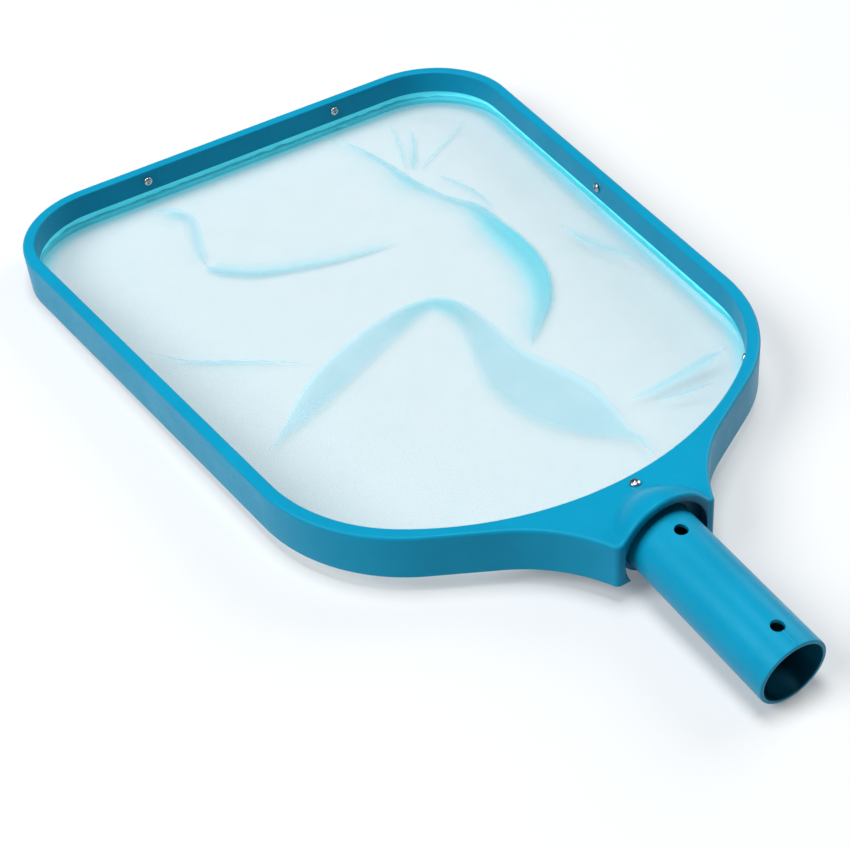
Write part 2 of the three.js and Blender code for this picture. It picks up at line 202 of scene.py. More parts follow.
def mirrored(half):
    """A right half from the front centre to the rear centre, made whole and counter-clockwise."""
    left = [complex(-p.real, p.imag) for p in half]
    return left + half[-2:0:-1]


FRONT_CENTRE = complex(HALF_WIDTH - CORNER_R, FRONT_Y - CORNER_R)
SIDE_NORMAL = polar(0, 1, -SIDE_TAPER)


def dot(a, b):
    return (a.conjugate() * b).real


REAR_RADIUS = dot(SIDE_NORMAL, FRONT_CENTRE - REAR_CENTRE) + CORNER_R
NECK_RUN_END = polar(polar(REAR_CENTRE, REAR_RADIUS, -REAR_TURN), NECK_RUN, -REAR_TURN - 90)
FILLET_CENTRE = polar(NECK_RUN_END, NECK_FILLET_R, -REAR_TURN)
OPENING_SPAN = REAR_CENTRE.real / math.cos(math.radians(INNER_TURN))
OPENING_CENTRE = complex(0, REAR_CENTRE.imag + OPENING_SPAN * math.sin(math.radians(INNER_TURN)))
OPENING_REAR_RADIUS = REAR_RADIUS + OPENING_SPAN


def neck_corner():
    y = NECK_END_Y + NECK_CORNER_R
    reach = NECK_FILLET_R + NECK_CORNER_R
    return complex(FILLET_CENTRE.real - math.sqrt(reach**2 - (y - FILLET_CENTRE.imag) ** 2), y)


def outer_outline(inset):
    corner = neck_corner()
    meeting = math.degrees(cmath.phase(corner - FILLET_CENTRE))
    parts = [
        [complex(0, FRONT_Y - inset)],
        arc(FRONT_CENTRE, CORNER_R - inset, 90, -SIDE_TAPER),
        arc(REAR_CENTRE, REAR_RADIUS - inset, -SIDE_TAPER, -REAR_TURN),
        arc(FILLET_CENTRE, NECK_FILLET_R + inset, 180 - REAR_TURN, meeting),
        arc(corner, NECK_CORNER_R - inset, meeting - 180, -90)[1:],
        [complex(0, NECK_END_Y + inset)],
    ]
    return mirrored(joined(parts, [12, 24, 8, 1, 60]))


def opening_outline(outset):
    shift = outset - RIM_WIDTH
    parts = [
        [complex(0, FRONT_Y + shift)],
        arc(FRONT_CENTRE, CORNER_R + shift, 90, -SIDE_TAPER),
        arc(REAR_CENTRE, REAR_RADIUS + shift, -SIDE_TAPER, -INNER_TURN),
        arc(OPENING_CENTRE, OPENING_REAR_RADIUS + shift, -INNER_TURN, -90)[1:],
    ]
    return mirrored(joined(parts, [40, 80, 1]))


# ---------- meshes ----------


def make(name, points, faces):
    mesh = bpy.data.meshes.new(name)
    mesh.from_pydata(points, [], faces)
    mesh.update()
    obj = bpy.data.objects.new(name, mesh)
    bpy.context.scene.collection.objects.link(obj)
    return obj


def at_height(outline, z):
    return [(p.real, p.imag, z) for p in outline]


def bands(count, rings):
    """Quads between rings of equally many points, each ring above the one before."""
    faces = []
    for k in range(rings - 1):
        for i in range(count):
            a = k * count + i
            b = k * count + (i + 1) % count
            faces.append((a, b, b + count, a + count))
    return faces


def loft(rings):
    count = len(rings[0])
    last = (len(rings) - 1) * count
    caps = [tuple(range(count - 1, -1, -1)), tuple(range(last, last + count))]
    return make("cutter", [p for ring in rings for p in ring], bands(count, len(rings)) + caps)


def prism(outline, bottom, top):
    return loft([at_height(outline, bottom), at_height(outline, top)])


def block(low, high):
    (x0, y0, z0), (x1, y1, z1) = low, high
    return prism([complex(x0, y0), complex(x1, y0), complex(x1, y1), complex(x0, y1)], z0, z1)


def circle(radius, sides):
    return [polar(0, radius, 360 * i / sides) for i in range(sides)]


def lathe(profile, sides, name="cutter"):
    """Turns (radius, height) points about Z. The profile starts and ends on the axis."""
    inner = profile[1:-1]
    points = [p for radius, height in inner for p in at_height(circle(radius, sides), height)]
    faces = bands(sides, len(inner))
    points += [(0, 0, profile[0][1]), (0, 0, profile[-1][1])]
    start, end = len(points) - 2, len(points) - 1
    last = (len(inner) - 1) * sides
    for i in range(sides):
        j = (i + 1) % sides
        faces += [(start, j, i), (end, last + i, last + j)]
    obj = make(name, points, faces)
    outward(obj)
    return obj


def outward(obj):
    mesh = bmesh.new()
    mesh.from_mesh(obj.data)
    bmesh.ops.recalc_face_normals(mesh, faces=mesh.faces)
    mesh.to_mesh(obj.data)
    mesh.free()


def moved(obj, matrix):
    obj.data.transform(matrix)
    return obj


def facing(start, way):
    """Axes at start with Z turned to way."""
    turn = Vector((0, 0, 1)).rotation_difference(Vector(way)).to_matrix().to_4x4()
    return Matrix.Translation(Vector(start)) @ turn


def rod(start, end, radius, sides):
    start, end = Vector(start), Vector(end)
    rings = [at_height(circle(radius, sides), z) for z in (0, (end - start).length)]
    return moved(loft(rings), facing(start, end - start))


def settle(obj):
    """Applies the modifiers."""
    bpy.context.view_layer.update()
    graph = bpy.context.evaluated_depsgraph_get()
    mesh = bpy.data.meshes.new_from_object(obj.evaluated_get(graph), depsgraph=graph)
    old = obj.data
    obj.modifiers.clear()
    obj.data = mesh
    bpy.data.meshes.remove(old)
    return obj


def open_edges(obj):
    mesh = bmesh.new()
    mesh.from_mesh(obj.data)
    count = sum(not edge.is_manifold for edge in mesh.edges)
    mesh.free()
    return count


def combine(obj, other, operation):
    modifier = obj.modifiers.new("combine", "BOOLEAN")
    modifier.operation = operation
    modifier.solver = "MANIFOLD"
    modifier.object = other
    for piece in (obj, other):
        if open_edges(piece):
            raise ValueError(f"{piece.name} isn't closed")
    settle(obj)
    bpy.data.meshes.remove(other.data)
    return obj


def cut(obj, *cutters):
    for cutter in cutters:
        combine(obj, cutter, "DIFFERENCE")
    return obj


def join(obj, *others):
    for other in others:
        combine(obj, other, "UNION")
    return obj


def smooth(obj, sharp=32):
    """Smooth shading that stays flat on large faces and breaks at real edges."""
    obj.data.polygons.foreach_set("use_smooth", [True] * len(obj.data.polygons))
    obj.data.set_sharp_from_angle(angle=math.radians(sharp))
    modifier = obj.modifiers.new("normals", "WEIGHTED_NORMAL")
    modifier.mode = "FACE_AREA"
    modifier.keep_sharp = True
    return settle(obj)


def mark(obj, name, values):
    attribute = obj.data.attributes.new(name, "FLOAT", "POINT")
    attribute.data.foreach_set("value", np.array(values, np.float32))
    return obj


def mark_painted_shade(obj, radius, end, axes=Matrix.Identity(4)):
    """Marks where shade is painted into the colour: the inside of the socket, what is within the radius of
    the axes' Z, up to the end.
    """
    points = [axes.inverted() @ v.co for v in obj.data.vertices]
    return mark(obj, "inner", [math.hypot(p.x, p.y) < radius and p.z < end for p in points])


def inside(points, outline):
    """Which of the points, a complex array, lie within the closed outline."""
    result = np.zeros(len(points), bool)
    for a, b in zip(outline, outline[1:] + outline[:1]):
        if a.imag == b.imag:
            continue
        crosses = (a.imag > points.imag) != (b.imag > points.imag)
        x = a.real + (points.imag - a.imag) * (b.real - a.real) / (b.imag - a.imag)
        result ^= crosses & (points.real < x)
    return result


def lattice(low, high, step):
    """Staggered points over a rectangle."""
    points = []
    row_step = step * 0.866
    rows = int((high.imag - low.imag) / row_step) + 1
    for row in range(rows):
        y = low.imag + row * row_step
        x = low.real + (step / 2 if row % 2 else 0)
        while x <= high.real:
            points.append(complex(x, y))
            x += step
    return np.array(points)


def nearest(points, line, closed=False):
    """Distance from each point to a polyline, place along it in segments, and side: +1 on the left."""
    line = np.array(line)
    starts = line if closed else line[:-1]
    ends = np.roll(line, -1) if closed else line[1:]
    best = np.full(len(points), np.inf)
    place = np.zeros(len(points))
    side = np.ones(len(points))
    for k, (a, b) in enumerate(zip(starts, ends)):
        way = b - a
        share = np.clip(((points - a) * way.conjugate()).real / abs(way) ** 2, 0, 1)
        offset = points - (a + share * way)
        distance = abs(offset)
        closer = distance < best
        best[closer] = distance[closer]
        place[closer] = k + share[closer]
        side[closer] = np.sign((way.conjugate() * (points - a)).imag)[closer]
    return best, place, side


def triangulated(loops, points, holes=()):
    """Triangles over the loops and loose points that lie within the first loop and outside the holes."""
    edges = []
    first = 0
    for loop in loops:
        count = len(loop)
        edges += [(first + i, first + (i + 1) % count) for i in range(count)]
        first += count
    flat = np.array([p for loop in loops for p in loop] + list(points))
    result = delaunay_2d_cdt([Vector((p.real, p.imag)) for p in flat], edges, [], 0, 1e-5)
    crossings = [result[0][v] for v, origin in enumerate(result[3]) if not origin]
    if crossings:
        raise ValueError(f"outlines cross near {crossings[0]}")
    triangles = np.array([[result[3][v][0] for v in face] for face in result[2]])
    a, b, c = flat[triangles].T
    area = abs(((b - a).conjugate() * (c - a)).imag)
    longest = np.maximum(np.maximum(abs(b - a), abs(c - b)), abs(a - c))
    centres = (a + b + c) / 3
    keep = inside(centres, list(loops[0])) & (area / longest > 1e-3)
    for hole in holes:
        keep &= ~inside(centres, hole)
    return flat, [tuple(int(v) for v in t) for t in triangles[keep]]


# ---------- outer frame ----------


def top_height(p):
    """Height of the frame's top at the points p: the level plate, with the hood swelling out of it."""
    base = HEIGHT - HOOD_AXIS_Z
    run = HOOD_START_Y - NECK_END_Y - HOOD_LIP
    part = np.clip((HOOD_START_Y - p.imag) / run, -1, 1)
    radius = base + (HOOD_R - base) * np.sin(part * math.pi / 2)
    under_root = np.clip(radius**2 - p.real**2, 0, None)
    arch = HOOD_AXIS_Z + np.sqrt(under_root)
    overlap = np.clip(HOOD_BLEND - abs(arch - HEIGHT), 0, None) / HOOD_BLEND
    return np.maximum(arch, HEIGHT) + overlap**2 * HOOD_BLEND / 4


def quarter(steps):
    return [math.pi / 2 * i / steps for i in range(steps + 1)]


def frame_body():
    rings = []
    for angle in quarter(3):
        outline = outer_outline(FOOT_ROUND * (1 - math.sin(angle)))
        rings.append(at_height(outline, FOOT_ROUND * (1 - math.cos(angle))))
    for angle in quarter(7):
        outline = np.array(outer_outline(OUTER_ROUND * (1 - math.cos(angle))))
        heights = top_height(outline) - OUTER_ROUND * (1 - math.sin(angle))
        rings.append([(p.real, p.imag, z) for p, z in zip(outline, heights)])
    count = len(rings[0])
    edge = outer_outline(OUTER_ROUND)
    start_y = NECK_END_Y + OUTER_ROUND + 0.6
    grid = lattice(complex(-HOOD_GRID_X, start_y), complex(HOOD_GRID_X, HOOD_GRID_Y), HOOD_GRID_STEP)
    flat, triangles = triangulated([edge], grid[inside(grid, outer_outline(OUTER_ROUND + 0.5))])
    last = (len(rings) - 1) * count
    extra = flat[count:]
    points = [p for ring in rings for p in ring]
    points += [(p.real, p.imag, z) for p, z in zip(extra, top_height(extra))]
    faces = bands(count, len(rings)) + [tuple(range(count - 1, -1, -1))]
    faces += [tuple(last + v for v in t) for t in triangles]
    body = make("frame_shell", points, faces)
    outward(body)
    return body


def opening():
    rings = [at_height(opening_outline(0), -SPILL)]
    for angle in quarter(5):
        outset = INNER_ROUND * (1 - math.cos(angle))
        rings.append(at_height(opening_outline(outset), HEIGHT - INNER_ROUND * (1 - math.sin(angle))))
    rings.append(at_height(opening_outline(INNER_ROUND), HEIGHT + SPILL))
    return loft(rings)


def channel():
    space = prism(outer_outline(OUTER_SKIN), -SPILL, HEIGHT - TOP_SKIN)
    low = (-HALF_WIDTH, NECK_END_Y - SPILL, -2 * SPILL)
    cut(space, prism(opening_outline(INNER_SKIN), -2 * SPILL, HEIGHT))
    return cut(space, block(low, (HALF_WIDTH, SOCKET_START_Y, HEIGHT)))


def neck_ribs():
    """Ribs under the neck plate, trimmed to the space between the hem and the outer wall."""
    room = prism(outer_outline(OUTER_SKIN / 2), RIB_BOTTOM - SPILL, HEIGHT - TOP_SKIN / 2)
    cut(room, prism(opening_outline(RIM_WIDTH - OUTER_SKIN + FIT_GAP), -SPILL, HEIGHT + SPILL))
    ribs = []
    for x in RIB_XS:
        low = (x - RIB_THICKNESS / 2, SOCKET_START_Y - SPILL, RIB_BOTTOM)
        rib = block(low, (x + RIB_THICKNESS / 2, OPENING_CENTRE.imag, HEIGHT - TOP_SKIN / 2))
        copy = bpy.data.objects.new("room", room.data.copy())
        bpy.context.scene.collection.objects.link(copy)
        ribs.append(combine(rib, copy, "INTERSECT"))
    bpy.data.meshes.remove(room.data)
    return ribs


def station(y):
    """How far along the tube a plane across the head at y meets the tube's axis."""
    along = TUBE_IN_HEAD.to_3x3() @ Vector((0, 0, 1))
    return (y - TUBE_IN_HEAD.translation.y) / along.y


def tube_cylinder(radius, from_y, to_y):
    cylinder = rod((0, 0, station(from_y)), (0, 0, station(to_y)), radius, SOCKET_SIDES)
    return moved(cylinder, TUBE_IN_HEAD)


def saddle_space():
    width = SADDLE_HALF_WIDTH + FIT_GAP
    low = (-width, -SADDLE_SEAT, station(RECESS_START_Y) - FIT_GAP)
    return moved(block(low, (width, HEIGHT, station(SOCKET_START_Y) + SPILL)), TUBE_IN_HEAD)


def side_wall_x(y):
    reach = dot(SIDE_NORMAL, FRONT_CENTRE) + CORNER_R - RIM_WIDTH
    return (reach - SIDE_NORMAL.imag * y) / SIDE_NORMAL.real


def wall_screws():
    """Name, foot of the head and way of the shank for each screw in the inner wall."""
    rear_way = polar(0, 1, REAR_SCREW_ANGLE)
    places = {
        "front": (complex(FRONT_SCREW_X, FRONT_Y - RIM_WIDTH), 1j),
        "side": (complex(side_wall_x(SIDE_SCREW_Y), SIDE_SCREW_Y), SIDE_NORMAL),
        "rear": (polar(REAR_CENTRE, REAR_RADIUS - RIM_WIDTH, REAR_SCREW_ANGLE), rear_way),
    }
    return [
        (f"{place}_screw_{side}", (sign * at.real, at.imag, SCREW_Z), (sign * way.real, way.imag, 0))
        for place, (at, way) in places.items()
        for side, sign in (("left", -1), ("right", 1))
    ]


NECK_SCREW = ("neck_screw", (*NECK_SCREW_AT, HEIGHT), (0, 0, -1))


def saddle_screws():
    middle = (station(RECESS_START_Y) + station(SOCKET_START_Y)) / 2
    return [
        (f"socket_clamp_screw_{side}", (sign * SADDLE_SCREW_X, -SADDLE_EAR_BOTTOM, middle), (0, -1, 0))
        for side, sign in (("left", -1), ("right", 1))
    ]


def hole_for(screw, depth):
    foot, way = (Vector(v) for v in screw[1:])
    return rod(foot - way * SPILL, foot + way * depth, SCREW_HOLE_R, SCREW_HOLE_SIDES)


def outer_frame():
    body = cut(frame_body(), channel())
    join(body, *neck_ribs())
    cut(body, opening(), prism(opening_outline(INNER_SKIN + FIT_GAP), -SPILL, INNER_WALL_BOTTOM))
    behind = NECK_END_Y - 3 * SPILL
    cut(body, tube_cylinder(RECESS_R, behind, RECESS_START_Y))
    cut(body, tube_cylinder(SOCKET_R, behind, SOCKET_START_Y + SPILL))
    cut(body, saddle_space())
    cut(body, *[hole_for(screw, WALL_SCREW_LENGTH) for screw in [*wall_screws(), NECK_SCREW]])
    cut(body, *[moved(hole_for(s, SADDLE_SCREW_LENGTH + SPILL), TUBE_IN_HEAD) for s in saddle_screws()])
    margin = 0.1
    end = station(RECESS_START_Y) + margin
    # the recess round the tube is marked for painted shade
    return smooth(mark_painted_shade(body, RECESS_R + margin, end, TUBE_IN_HEAD))


# ---------- tube and its clamp, in the tube's axes: z from the mouth to the head, y down ----------


def rounded(centre, radius, start, end, steps=4):
    """Points of a small arc in a profile, by degrees."""
    angles = [math.radians(start + (end - start) * i / steps) for i in range(steps + 1)]
    return [(centre[0] + radius * math.cos(a), centre[1] + radius * math.sin(a)) for a in angles]


def handle_tube():
    inside_end = TUBE_LENGTH - TUBE_END_WALL
    half = MOUTH_ROUND / 2
    profile = [
        (0, inside_end),
        *rounded((BORE_R - 1, inside_end - 1), 1, 90, 0),
        *rounded((BORE_R + half, half), half, 180, 270),
        *rounded((TUBE_R - MOUTH_ROUND, MOUTH_ROUND), MOUTH_ROUND, -90, 0, 6),
        *rounded((TUBE_R - MOUTH_ROUND, TUBE_LENGTH - MOUTH_ROUND), MOUTH_ROUND, 0, 90, 6),
        (0, TUBE_LENGTH),
    ]
    tube = lathe(profile, TUBE_SIDES, "tube")
    rib_y = GUIDE_RIB_SINK - TUBE_R
    rib = lathe(
        [(0, MOUTH_ROUND), *rounded((0, MOUTH_ROUND + GUIDE_RIB_R), GUIDE_RIB_R, -75, 0),
         (GUIDE_RIB_R, MOUTH_BUTTON_AT), (0, MOUTH_BUTTON_AT)],
        GUIDE_RIB_SIDES,
    )
    join(tube, moved(rib, Matrix.Translation((0, rib_y, 0))))
    for along, depth in ((MOUTH_BUTTON_AT, 0), (INNER_BUTTON_AT, 2 * TUBE_R)):
        cut(tube, rod((0, -2 * TUBE_R, along), (0, depth, along), BUTTON_HOLE_R, BUTTON_HOLE_SIDES))
    # the bore is marked for painted shade
    return smooth(moved(mark_painted_shade(tube, BORE_R + 0.2, TUBE_LENGTH), TUBE_IN_HEAD), 40)


def socket_clamp():
    start = station(RECESS_START_Y) + FIT_GAP
    end = start + SADDLE_LENGTH
    saddle = rod((0, 0, start), (0, 0, end), SADDLE_R, SADDLE_SIDES)
    lower = block((-SADDLE_R - 1, -SADDLE_TOP, start - SPILL), (SADDLE_R + 1, SADDLE_R + 2, end + SPILL))
    combine(saddle, lower, "INTERSECT")
    ears = ((-SADDLE_HALF_WIDTH, -SADDLE_TOP, start), (SADDLE_HALF_WIDTH, -SADDLE_EAR_BOTTOM, end))
    join(saddle, block(*ears))
    cut(saddle, rod((0, 0, start - SPILL), (0, 0, end + SPILL), SOCKET_R, SADDLE_SIDES))
    cut(saddle, *[hole_for(screw, SADDLE_SCREW_LENGTH) for screw in saddle_screws()])
    return smooth(moved(saddle, TUBE_IN_HEAD))


# ---------- clamp ring and hem ----------


def swept(section, name, ripple=None):
    """A closed section of (outset, z) points carried round the opening."""
    loops = [opening_outline(outset) for outset, _ in section]
    count = len(loops[0])
    points = []
    for k, (outset, z) in enumerate(section):
        for i, p in enumerate(loops[k]):
            lift = ripple(p, z) if ripple else 0
            points.append((p.real, p.imag, z + lift))
    faces = bands(count, len(section))
    last = (len(section) - 1) * count
    faces += [(last + i, last + (i + 1) % count, (i + 1) % count, i) for i in range(count)]
    obj = make(name, points, faces)
    outward(obj)
    return obj


HEM_OUTSET = INNER_SKIN + FIT_GAP
CLAMP_OUTSET = HEM_OUTSET + HEM_THICKNESS + FIT_GAP


def clamp_ring():
    low, high = CLAMP_OUTSET, CLAMP_OUTSET + CLAMP_THICKNESS
    soft = 0.2
    ring = swept(
        [(low, CLAMP_BOTTOM + soft), (low, CHANNEL_TOP), (high, CHANNEL_TOP), (high, CLAMP_BOTTOM + soft),
         (high - soft, CLAMP_BOTTOM), (low + soft, CLAMP_BOTTOM)],
        "clamp_ring",
    )
    boss = rod((*NECK_SCREW_AT, CLAMP_BOTTOM), (*NECK_SCREW_AT, CHANNEL_TOP), BOSS_R, SCREW_SIDES)
    overlap = 0.3
    cut(boss, prism(opening_outline(CLAMP_OUTSET + overlap), -SPILL, HEIGHT + SPILL))
    join(ring, boss)
    cut(ring, *[hole_for(screw, RIM_WIDTH) for screw in wall_screws()])
    cut(ring, hole_for(NECK_SCREW, NECK_SCREW_LENGTH + SPILL))
    return smooth(ring)


def wobble(p, scale, seed):
    return noise.noise(Vector((p.real / scale, p.imag / scale, seed)))


def net_hem():
    """A doubled tape with a soft lower roll."""
    inner, outer = HEM_OUTSET, HEM_OUTSET + HEM_THICKNESS
    middle = (inner + outer) / 2
    half = HEM_THICKNESS / 2
    roll = [(middle + x, HEM_BOTTOM + half + z) for x, z in rounded((0, 0), half, 0, -180, 6)]
    heights = (5.5, 7.2, 9, 10.8, 15, CHANNEL_TOP)
    folded_up = [(inner, z) for z in heights]
    down = [(outer, z) for z in reversed(heights)]

    def ripple(p, z):
        return 0.15 * wobble(p, 12, 3.1) * max(0, (12 - z) / 8)

    return swept(roll + folded_up + down, "hem", ripple)


# ---------- net ----------

NET_OUTSET = 1.72
NET_EDGE_Z = 4
NET_SAG = 7
NET_SETTLED_AT = 46
NET_WAVES = 1.3
NET_FLOOR_GAP = 1.5
NET_EDGE_RISE = 2.8
NET_EDGE_REACH = 1.5
NET_EDGE_GATHER = 2.2
NET_GATHER_REACH = 6
NET_PUCKER = 0.35
NET_COARSE_STEP = 4.2
NET_FINE_STEP = 2.1
NET_FINE_REACH = 13
NET_FOLD_CLEARANCE = 0.9
NET_BORDER_CLEARANCE = 1.2
NET_BORDER = (-4, -3, -2.1, -1.2, -0.4, 0.3, 0.8, 1.2, 1.45, 1.6, NET_OUTSET)
SPLINE_STEPS = 24
FOLD_STEP = 2
REST_SLOPE = HEAD.to_3x3().col[1].z / MM  # the floor falls this much for each millimetre towards the handle


def net_base(p, distance):
    """Height of the slack net: steep at the hem, then settled almost on the floor."""
    settled = eased(distance / NET_SETTLED_AT)
    floor = (FRONT_Y - p.imag) * -abs(REST_SLOPE) + NET_FLOOR_GAP
    slack = np.array([wobble(q, 60, 0.4) + 0.4 * wobble(q, 24, 5.2) for q in p])
    level = NET_EDGE_Z - NET_SAG * settled + NET_WAVES * slack * settled
    gap = level - floor
    return floor + np.where(gap > 1, gap, np.exp(np.clip(gap - 1, -30, 0)))


def edge_rise(outset):
    return NET_EDGE_RISE * np.exp(-(NET_OUTSET - outset) / NET_EDGE_REACH)


def edge_gather(outset):
    return NET_EDGE_GATHER * np.exp(-(((NET_OUTSET - outset) / NET_GATHER_REACH) ** 2))


def spline(controls):
    """Columns of a smooth curve through rows that begin with x and y, evenly spaced along its run."""
    rows = np.array(controls, float)
    p = np.vstack([2 * rows[0] - rows[1], rows, 2 * rows[-1] - rows[-2]])
    t = np.linspace(0, 1, SPLINE_STEPS, endpoint=False)[:, None]
    spans = [
        0.5 * (2 * b + (c - a) * t + (2 * a - 5 * b + 4 * c - d) * t**2 + (3 * b - a - 3 * c + d) * t**3)
        for a, b, c, d in zip(p, p[1:], p[2:], p[3:])
    ]
    fine = np.vstack([*spans, rows[-1]])
    run = np.concatenate([[0], np.cumsum(np.hypot(*np.diff(fine[:, :2], axis=0).T))])
    even = np.linspace(0, run[-1], max(6, int(run[-1] / FOLD_STEP)) + 1)
    return [np.interp(even, run, column) for column in fine.T]


def eased(share):
    share = np.clip(share, 0, 1)
    return share**2 * (3 - 2 * share)


class Fold:
    """A crease that doubles the net back on itself between two curves that meet at its ends.

    The controls are (x, y, width, gather), where gather is how much denser than the slack net the
    threads lie. On the left the net is on top, and comes down over reach; on the right it is beneath.
    The doubled net thins out over soft, at its left and right edges.
    """

    def __init__(self, controls, rise, reach, soft):
        x, y, width, gather = spline(controls)
        self.line = x + 1j * y
        self.width = np.clip(width, 0.25, None)
        self.width[[0, -1]] = 0
        self.gather = np.clip(gather, 0, None)
        self.rise = rise * np.sqrt(self.width / self.width.max())
        self.reach = reach
        self.soft = soft
        way = np.gradient(self.line)
        left = 1j * way / abs(way)
        self.high = self.line + left * self.width / 2
        self.low = self.line - left * self.width / 2

    def loop(self):
        """Both curves as one closed loop: along the left one, and back along the right one."""
        return [*self.high, *self.low[-2:0:-1]]

    def effect(self, points):
        """How high the fold holds the net around it, and how far it bunches the threads."""
        distance, place, side = nearest(points, self.line)
        stations = np.arange(len(self.line))
        width, gather, rise = (
            np.interp(place, stations, values) for values in (self.width, self.gather, self.rise)
        )
        beyond = np.clip(distance - width / 2, 0, None)
        left = side > 0
        lift = np.where(left, rise * np.exp(-beyond / self.reach), 0)
        fade = np.where(left, 0.7 * self.reach, 0.7)
        return lift, gather * np.exp(-beyond / fade)

    def density(self, i, along, layer):
        """How dense the threads lie in a layer of the fold: 0 on top, 1 between, 2 beneath."""
        left_soft, right_soft = (min(soft, 0.6 * self.width[i]) for soft in self.soft)
        from_left = eased(along / left_soft)
        from_right = eased((self.width[i] - along) / right_soft)
        dense = 1 + self.gather[i]
        top = dense * (0.3 + 0.7 * from_right)
        between = 0.6 * dense * from_left * from_right
        beneath = from_left * (1 - 0.55 * from_right)
        return (top, between, beneath)[layer]


FOLDS = [
    # the long hook, and the strand beside it
    Fold([(41.5, -47.5, 0, 0), (47, -41, 4, 0.6), (54.5, -33, 7, 0.9), (66.5, -20.5, 9.5, 1.2),
          (76.5, -4, 11, 1.5), (82, 14, 12, 1.7), (84, 32, 12, 1.8), (84, 50, 11, 1.5), (84, 72, 8, 0.9),
          (76, 92, 5, 0.5), (69, 116, 6, 0.8), (67, 141, 4, 0.6), (62, 166, 2, 0.5), (52, 182, 0, 0)],
         1.6, 7.0, (8.0, 0.6)),
    Fold([(93, 62, 0, 0), (94, 82, 1.6, 0.5), (90, 102, 2, 0.4), (84, 117, 0, 0)], 0.5, 4.0, (1.4, 0.7)),
    # the broad flat fold that bends over at the middle
    Fold([(38, -154, 0, 0), (40, -140, 5, 0.1), (37, -129, 12, 0.1), (34, -118, 24, 0.1),
          (29, -100, 39, 0.05), (25, -84, 42, 0.05), (22, -64, 38, 0.05), (23, -43, 26, 0.1),
          (27, -15, 16, 0.3), (25, 6, 11, 0.9), (13, 14, 10, 0.8), (-15, 6, 20, 0.15), (-49, -8, 22, 0.05),
          (-71, -21, 18, 0.05), (-88, -31, 9, 0.05), (-107, -43, 0, 0)], 0.8, 3.0, (5.0, 0.8)),
    # the step across the left half
    Fold([(-63, 115, 0, 0), (-60.5, 109.5, 6, 0.6), (-53, 101, 8, 0.6), (-38, 90, 8, 0.6), (-6, 78, 6, 0.5),
          (17, 73, 4, 0.4), (36, 70, 0, 0)], 0.8, 6.0, (6.0, 0.9)),
    Fold([(-62, 117.2, 0, 0), (-61, 124, 6, 0.2), (-57, 141, 9, 0), (-52, 158, 9, 0.1), (-55, 170, 7, 0.6),
          (-66, 180, 0, 0)], 0.6, 6.0, (6.0, 3.0)),
    # lines
    Fold([(-56, 7, 0, 0), (-77, 24, 1.8, 0.4), (-98, 39, 2.4, 0.5), (-110, 48, 1.8, 0.4), (-122, 62, 0, 0)],
         0.5, 4.0, (1.6, 0.6)),
    Fold([(75, 131, 0, 0), (77, 136, 2, 0.1), (83, 150, 2.4, 0.2), (89, 168, 2, 0.1), (90, 174, 0, 0)],
         0.4, 3.0, (1.6, 1.0)),
    Fold([(78, 127, 0, 0), (80, 131, 3, 0.4), (88, 143, 3, 0.4), (96, 158, 2, 0.2), (99, 165, 0, 0)],
         0.5, 3.0, (2.2, 1.0)),
    Fold([(82, 124, 0, 0), (86, 127, 2, 0.2), (103, 137, 2.4, 0.2), (122, 147, 2, 0.1), (129, 151, 0, 0)],
         0.4, 3.0, (1.6, 1.0)),
    Fold([(112, 27, 0, 0), (113, 12, 5, 0.3), (116, -4, 6, 0.4), (121, -20, 3, 0.4), (123, -42, 0, 0)],
         0.6, 5.0, (4.0, 1.8)),
    Fold([(112, -114, 0, 0), (100, -115, 8, 0.4), (84, -114, 7, 0.5), (67, -113, 3.5, 0.5), (54, -112, 0, 0)],
         0.6, 4.0, (4.5, 2.2)),
    Fold([(92, -131, 0, 0), (77, -126, 3, 0.3), (64, -120, 0, 0)], 0.4, 3.0, (1.6, 0.8)),
]

TOP_STEPS = 6
TURN_STEPS = 5


def across(width, rise):
    """The net's way across a fold, as (distance from the high curve, height, layer)."""
    turn = min(rise / 4, 0.45 * width)
    path = [((width - turn) * i / TOP_STEPS, rise, 0) for i in range(1, TOP_STEPS)]
    for i in range(TURN_STEPS + 1):
        a = math.pi / 2 - math.pi * i / TURN_STEPS
        height = rise * (0.75 + 0.25 * math.sin(a))
        path.append((width - turn + turn * math.cos(a), height, 0 if a > 0 else 1))
    path += [(turn + (width - 2 * turn) * (1 - i / TOP_STEPS), rise / 2, 1) for i in range(1, TOP_STEPS)]
    for i in range(TURN_STEPS + 1):
        a = math.pi / 2 + math.pi * i / TURN_STEPS
        height = rise * (0.25 + 0.25 * math.sin(a))
        path.append((turn + turn * math.cos(a), height, 1 if a < math.pi else 2))
    return path + [(turn + (width - turn) * i / TOP_STEPS, 0, 2) for i in range(1, TOP_STEPS)]


def net_points():
    """Loose points for the net, closer together beside the folds."""
    border = opening_outline(NET_BORDER[0])
    low, high = complex(-HALF_WIDTH, -200), complex(HALF_WIDTH, FRONT_Y)
    coarse, fine = (lattice(low, high, step) for step in (NET_COARSE_STEP, NET_FINE_STEP))

    def gap(points):
        nearest_fold = np.full(len(points), np.inf)
        for fold in FOLDS:
            distance = nearest(points, fold.loop(), closed=True)[0]
            distance[inside(points, fold.loop())] = 0
            nearest_fold = np.minimum(nearest_fold, distance)
        return nearest_fold

    chosen = []
    ranges = (coarse, NET_FINE_REACH, np.inf), (fine, NET_FOLD_CLEARANCE, NET_FINE_REACH)
    for points, least, most in ranges:
        points = points[inside(points, border)]
        points = points[nearest(points, border, closed=True)[0] > NET_BORDER_CLEARANCE]
        away = gap(points)
        chosen.append(points[(away > least) & (away <= most)])
    return np.concatenate(chosen)


